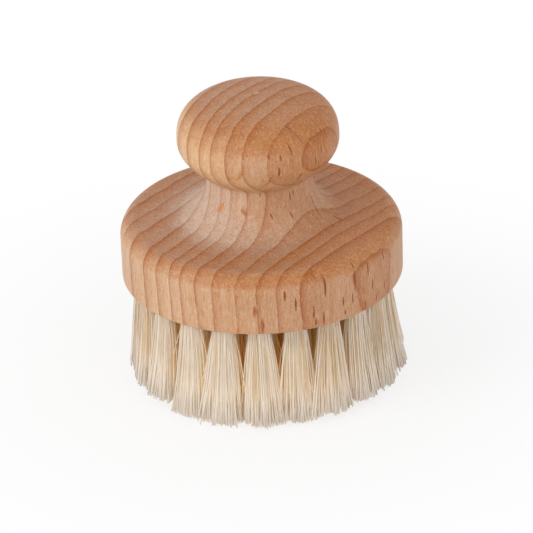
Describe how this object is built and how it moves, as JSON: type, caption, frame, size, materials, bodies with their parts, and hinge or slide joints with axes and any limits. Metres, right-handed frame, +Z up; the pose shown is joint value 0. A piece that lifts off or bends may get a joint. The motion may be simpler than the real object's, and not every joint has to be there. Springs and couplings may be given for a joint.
{
  "type": "facial brush",
  "caption": "Round hand-held facial brush with a turned wooden grip knob on a waisted neck, and a head filled with stapled tufts of pale plant fibre.",
  "frame": {"origin": "on the axis of turning, in the plane that the bristle tips are trimmed to", "axes": "+Z up along the axis of turning, from the bristle tips to the top of the knob; -Y faces the camera of the reference view, +X to its right"},
  "size_m": [0.065, 0.065, 0.0696],
  "materials": {
    "beech": "satin",
    "fibre": "matte",
    "staple_wire": "satin"
  },
  "bodies": {
    "root": {"turned_body": "beech", "outer_tufts": "fibre", "middle_tufts": "fibre", "inner_tufts": "fibre", "centre_tufts": "fibre", "staple_outer_01": "staple_wire", "staple_outer_02": "staple_wire", "staple_outer_03": "staple_wire", "staple_outer_04": "staple_wire", "staple_outer_05": "staple_wire", "staple_outer_06": "staple_wire", "staple_outer_07": "staple_wire", "staple_outer_08": "staple_wire", "staple_outer_09": "staple_wire", "staple_outer_10": "staple_wire", "staple_outer_11": "staple_wire", "staple_outer_12": "staple_wire", "staple_outer_13": "staple_wire", "staple_outer_14": "staple_wire", "staple_outer_15": "staple_wire", "staple_outer_16": "staple_wire", "staple_outer_17": "staple_wire", "staple_outer_18": "staple_wire", "staple_outer_19": "staple_wire", "staple_outer_20": "staple_wire", "staple_outer_21": "staple_wire", "staple_middle_01": "staple_wire", "staple_middle_02": "staple_wire", "staple_middle_03": "staple_wire", "staple_middle_04": "staple_wire", "staple_middle_05": "staple_wire", "staple_middle_06": "staple_wire", "staple_middle_07": "staple_wire", "staple_middle_08": "staple_wire", "staple_middle_09": "staple_wire", "staple_middle_10": "staple_wire", "staple_middle_11": "staple_wire", "staple_middle_12": "staple_wire", "staple_middle_13": "staple_wire", "staple_middle_14": "staple_wire", "staple_inner_01": "staple_wire", "staple_inner_02": "staple_wire", "staple_inner_03": "staple_wire", "staple_inner_04": "staple_wire", "staple_inner_05": "staple_wire", "staple_inner_06": "staple_wire", "staple_inner_07": "staple_wire", "staple_centre_01": "staple_wire"}
  },
  "joints": []
}
